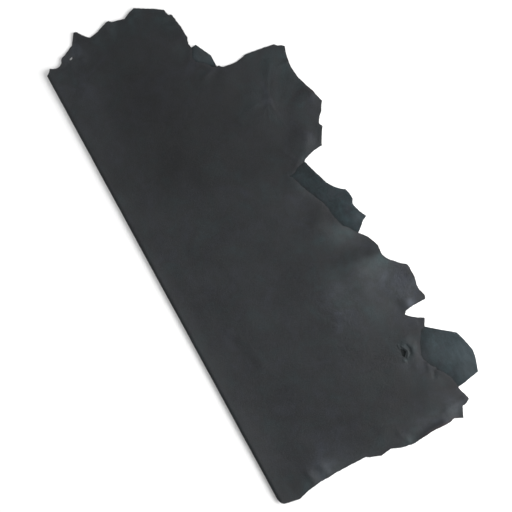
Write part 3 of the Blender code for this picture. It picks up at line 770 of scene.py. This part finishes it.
flesh = {
    "dark": (0.0044, 0.0090, 0.0110, 1),
    "light": (0.0098, 0.0190, 0.0222, 1),
    "lilac": (0.0120, 0.0150, 0.0190, 1),
    "pale": (0.0215, 0.0300, 0.0345, 1),
    "grey": (0.0190, 0.0202, 0.0212, 1),
    "gloss": (0.86, 0.25),
    "roughness": (0.8, 0.95, 0.3, 0.7),
    "sheen": (0.12, 0.5),  # weight, roughness
    "mottled": (46, 5, 0.66, 0.8), "mottledFrom": (0.34, 0.66), "mottledBump": (0.4, 0.0012),
    "blush": (30, 3, 0.6, 0.5), "blushShare": (0, 0.75, 0.48, 0.7),
    "darkest": 0.55,  # share of the colour where the pale tint is -1
    "nap": (260, 4, 0.7), "napFrom": (0.4, 0.6), "napBump": (0.6, 0.0005),
    "broad": (11, 3), "broadShade": (0.8, 1.1, 0.35, 0.65),
    "lie": ((0, 0, 0.6), (1, 0.3, 1)),  # turn and squeeze of fibre and streaks
    "fibre": (900, 4, 0.7), "fibreShade": (0.7, 1.25, 0.3, 0.7), "fibreBump": (0.7, 0.0002),
    "streaks": (115, 4, 0.65, 0.8), "streakShade": (0.86, 1.15, 0.36, 0.64),
    "paintedShade": (1, 0.25),  # painted shade, times the colour: out in the open, and under the upper layer
    "paintedShadeFalloff": ((0.34, 14), (0.3, 4)),  # shares of the painted shade past the upper layer's edge, and how far out they reach
}
cut = {
    "dark": (0.0075, 0.0070, 0.0072, 1),
    "light": (0.0180, 0.0155, 0.0150, 1),
    "rust": (0.0230, 0.0150, 0.0150, 1),
    "gloss": (0.8, 0.25),
    "roughness": (0.7, 0.9, 0.3, 0.7),
    "squeeze": (0.35, 0.35, 1.6),
    "fibre": (1500, 4, 0.7), "fibreFrom": (0.35, 0.68), "fibreBump": (0.7, 0.0003),
    "clumps": (120, 3), "clumpShade": (0.6, 1.3, 0.3, 0.7),
}


def colourHide(mesh, flat, places, away, beyondUpper):
    # what the finishes read at every point, and the three finishes
    out, along = places[:, 0], places[:, 1]
    # painted shade on the flesh side: full under the upper layer, fading out past its edge
    paintedShadeFalloff = sum(share * np.exp(-beyondUpper / reach) for share, reach in flesh["paintedShadeFalloff"])
    read = {
        "hidePlace": np.column_stack([flat * mm, np.zeros(len(flat))]),
        "nearCut": np.exp(-away / grain["wornReach"]),
        "nearFold": np.exp(-(flat[:, 0] / grain["rubReach"]) ** 2),
        "paintedShadeShare": np.where(beyondUpper > 0, paintedShadeFalloff, 1),
        "crinkle": fades(out, along, crinkles),
    }
    for name, table in (("teal", tealTints), ("paintedShading", paintedShadingTints), ("pale", paleTints),
                        ("rust", rustTints)):
        read[name] = np.clip(fades(out, along, table), *grain["tintLimits"])
    # the painted shading also takes its lines of painted shade
    read["paintedShading"] += ridges(out, along, paintedShadingLines)
    for name, values in read.items():
        kind, field = ("FLOAT_VECTOR", "vector") if values.ndim == 2 else ("FLOAT", "value")
        attribute = mesh.attributes.new(name, kind, "POINT")
        attribute.data.foreach_set(field, values.astype(np.float32).ravel())
    for material in (grainLeather(), fleshSide(), cutEdge()):
        mesh.materials.append(material)
    print("hide coloured")


def newMaterial(name, roughness, specular):
    material = bpy.data.materials.new(name)
    material.use_nodes = True
    shader = material.node_tree.nodes["Principled BSDF"]
    shader.inputs["Roughness"].default_value = roughness
    shader.inputs["Specular IOR Level"].default_value = specular
    return material, shader


def addNode(beside, kind, inputs=None, **settings):
    # beside is any node or socket of the same material
    tree = beside.id_data
    node = tree.nodes.new("ShaderNode" + kind)
    for name, value in settings.items():
        setattr(node, name, value)
    for name, value in (inputs or {}).items():
        if isinstance(value, bpy.types.NodeSocket):
            tree.links.new(value, node.inputs[name])
        else:
            node.inputs[name].default_value = value
    return node


def readAttribute(beside, name, output="Fac"):
    return addNode(beside, "Attribute", attribute_name=name).outputs[output]


def mixColours(share, first, second):
    # sockets 6 and 7 of a Mix node are its two colours
    return addNode(share, "Mix", {0: share, 6: first, 7: second}, data_type="RGBA").outputs[2]


def shaded(colour, share):
    return addNode(colour, "Mix", {0: 1, 6: colour, 7: share}, data_type="RGBA",
                   blend_type="MULTIPLY").outputs[2]


def spread(value, low, high, fromLow=0, fromHigh=1):
    inputs = {"Value": value, "From Min": fromLow, "From Max": fromHigh, "To Min": low,
              "To Max": high}
    return addNode(value, "MapRange", inputs).outputs["Result"]


def patchy(place, scale, detail, roughness=0.55, distortion=0):
    inputs = {"Vector": place, "Scale": scale, "Detail": detail, "Roughness": roughness,
              "Distortion": distortion}
    return addNode(place, "TexNoise", inputs).outputs["Fac"]


def cells(place, scale, randomness, feature):
    inputs = {"Vector": place, "Scale": scale, "Randomness": randomness}
    return addNode(place, "TexVoronoi", inputs, feature=feature).outputs["Distance"]


def combined(first, second, operation="MULTIPLY"):
    return addNode(first, "Math", {0: first, 1: second}, operation=operation).outputs[0]


def bumped(*layers):
    # bumps over one another, each as (height, strength, depth)
    below = {}
    for height, strength, depth in layers:
        inputs = {"Height": height, "Strength": strength, "Distance": depth} | below
        below = {"Normal": addNode(height, "Bump", inputs).outputs["Normal"]}
    return below["Normal"]


def finished(material, shader, colour, roughness, normal):
    for name, socket in (("Base Color", colour), ("Roughness", roughness), ("Normal", normal)):
        material.node_tree.links.new(socket, shader.inputs[name])
    return material


def grainLeather():
    material, shader = newMaterial("grainLeather", *grain["gloss"])
    place = readAttribute(shader, "hidePlace", "Vector")
    broad, blotch, cloudy, wrinkle, crush = (
        patchy(place, *grain[name])
        for name in ("broad", "blotch", "cloudy", "wrinkle", "crush"))
    pebbles = spread(cells(place, *grain["pebble"]), 0, 1, *grain["pebbleFrom"])
    pores = spread(cells(place, *grain["pores"]), 0, 1, *grain["poresFrom"])

    broad = spread(broad, 0, 1, *grain["broadFrom"])
    colour = mixColours(broad, grain["dark"], grain["light"])
    blotch = spread(blotch, *grain["blotchTint"])
    teal = combined(readAttribute(shader, "teal"), blotch, "ADD")
    colour = mixColours(spread(teal, 0, 1), colour, grain["teal"])
    colour = mixColours(spread(teal, 0, 1, 0, -1), colour, grain["lilac"])
    colour = shaded(colour, spread(cloudy, *grain["cloudShade"]))
    # painted light and shade: lighter and warmer where painted light is, darker where painted
    # shade is
    paintedShading = readAttribute(shader, "paintedShading")
    paintedLightWarm = spread(paintedShading, 0, 1, 0, grain["paintedLightWarmthFull"])
    colour = mixColours(paintedLightWarm, colour, shaded(colour, grain["paintedLightWarmth"]))
    colour = shaded(colour, spread(paintedShading, *grain["paintedShadingRange"], *grain["tintLimits"]))
    colour = shaded(colour, spread(pebbles, *grain["pebbleShade"]))
    colour = shaded(colour, spread(pores, *grain["poreShade"]))
    # worn lighter along the cut edge, in patches
    nearCut = readAttribute(shader, "nearCut")
    wear = combined(nearCut, spread(wrinkle, 0, 1, *grain["wearFrom"]))
    colour = mixColours(wear, colour, grain["worn"])
    rust = combined(readAttribute(shader, "rust"), nearCut)
    colour = mixColours(rust, colour, cut["rust"])
    # and rubbed a little along the fold, on the tops of the grain
    rub = combined(readAttribute(shader, "nearFold"), spread(cloudy, *grain["rub"]))
    colour = mixColours(combined(rub, pebbles), colour, grain["worn"])

    wornRough = combined(wear, grain["wornRoughness"])
    rough = combined(spread(cloudy, *grain["roughness"]), wornRough, "ADD")
    crinkle = combined(readAttribute(shader, "crinkle"), grain["crushLeast"], "ADD")
    crush = combined(crush, crinkle)
    normal = bumped((wrinkle, *grain["wrinkleBump"]), (crush, *grain["crushBump"]),
                    (pebbles, *grain["pebbleBump"]), (pores, *grain["poreBump"]))
    return finished(material, shader, colour, rough, normal)


def fleshSide():
    material, shader = newMaterial("fleshSide", *flesh["gloss"])
    for name, value in zip(("Sheen Weight", "Sheen Roughness"), flesh["sheen"]):
        shader.inputs[name].default_value = value
    place = readAttribute(shader, "hidePlace", "Vector")
    turn, squeeze = flesh["lie"]
    lie = addNode(shader, "Mapping", {"Vector": place, "Rotation": turn, "Scale": squeeze})
    mottled, blush, nap, broad = (patchy(place, *flesh[name])
                                  for name in ("mottled", "blush", "nap", "broad"))
    fibre, streaks = (patchy(lie.outputs["Vector"], *flesh[name])
                      for name in ("fibre", "streaks"))

    mottledShare = spread(mottled, 0, 1, *flesh["mottledFrom"])
    colour = mixColours(mottledShare, flesh["dark"], flesh["light"])
    colour = mixColours(spread(blush, *flesh["blushShare"]), colour, flesh["lilac"])
    pale = readAttribute(shader, "pale")
    colour = mixColours(pale, colour, flesh["pale"])
    colour = shaded(colour, spread(pale, flesh["darkest"], 1, -1, 0))
    grey = spread(readAttribute(shader, "teal"), 0, 1, 0, -1)
    colour = mixColours(grey, colour, flesh["grey"])
    rim = combined(readAttribute(shader, "nearCut"), spread(nap, 0, 1, *flesh["napFrom"]))
    colour = mixColours(rim, colour, flesh["pale"])
    # shades of the textures, and last the painted shade under and beside the upper layer
    for patches, shade in ((broad, "broadShade"), (fibre, "fibreShade"), (streaks, "streakShade"),
                           (readAttribute(shader, "paintedShadeShare"), "paintedShade")):
        colour = shaded(colour, spread(patches, *flesh[shade]))

    normal = bumped((mottled, *flesh["mottledBump"]), (nap, *flesh["napBump"]),
                    (fibre, *flesh["fibreBump"]))
    return finished(material, shader, colour, spread(nap, *flesh["roughness"]), normal)


def cutEdge():
    material, shader = newMaterial("cutEdge", *cut["gloss"])
    place = addNode(shader, "TexCoord").outputs["Object"]
    lie = addNode(shader, "Mapping", {"Vector": place, "Scale": cut["squeeze"]})
    fibre = patchy(lie.outputs["Vector"], *cut["fibre"])
    clumps = patchy(place, *cut["clumps"])
    colour = mixColours(spread(fibre, 0, 1, *cut["fibreFrom"]), cut["dark"], cut["light"])
    colour = shaded(colour, spread(clumps, *cut["clumpShade"]))
    colour = mixColours(readAttribute(shader, "rust"), colour, cut["rust"])
    rough = spread(clumps, *cut["roughness"])
    return finished(material, shader, colour, rough, bumped((fibre, *cut["fibreBump"])))


studio = {
    "floorHalf": 9,
    "floorColour": (0.74, 0.74, 0.74, 1),
    "floorGloss": (0.7, 0.2),
    "world": 0.38,
    "keyPlace": (1.9, -1.1, 1.38), "keySize": 3.1, "keyPower": 206,
    "fillPlace": (-1.6, 1.1, 2), "fillSize": 2.4, "fillPower": 33,
}
view = {
    "target": (262.8, 607),  # out and along of the view's middle
    "height": 2.686,         # metres over the floor
    "turn": -28.55,          # degrees about the line of sight
    "lens": 70,
}


def makeFloor():
    ground = bmesh.new()
    bmesh.ops.create_grid(ground, x_segments=1, y_segments=1, size=studio["floorHalf"])
    mesh = bpy.data.meshes.new("floor")
    ground.to_mesh(mesh)
    ground.free()
    material, shader = newMaterial("paleFloor", *studio["floorGloss"])
    shader.inputs["Base Color"].default_value = studio["floorColour"]
    mesh.materials.append(material)
    return addObject("floor", mesh)


def addLight(name, place, size, power):
    light = bpy.data.lights.new(name, "AREA")
    light.shape = "DISK"
    light.size = size
    light.energy = power
    lamp = addObject(name, light)
    lamp.location = place
    lamp.rotation_euler = (-Vector(place)).to_track_quat("-Z", "Y").to_euler()


def addStudio():
    scene = bpy.context.scene
    world = bpy.data.worlds.new("studio")
    world.use_nodes = True
    background = world.node_tree.nodes["Background"]
    background.inputs["Color"].default_value = (1, 1, 1, 1)
    background.inputs["Strength"].default_value = studio["world"]
    scene.world = world
    addLight("key", studio["keyPlace"], studio["keySize"], studio["keyPower"])
    addLight("fill", studio["fillPlace"], studio["fillSize"], studio["fillPower"])
    scene.view_settings.view_transform = "Standard"
    camera = bpy.data.cameras.new("camera")
    camera.lens = view["lens"]
    holder = addObject("camera", camera)
    outAlong = (Vector(view["target"]) - Vector(hide["middle"])) * mm
    holder.location = (outAlong.x, outAlong.y, view["height"])
    holder.rotation_euler = (0, 0, math.radians(view["turn"]))
    scene.camera = holder


piece = makeHide()
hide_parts("hide")
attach(piece, "root")
print("hide laid")
makeFloor()
addStudio()
print("floor, light and camera set")
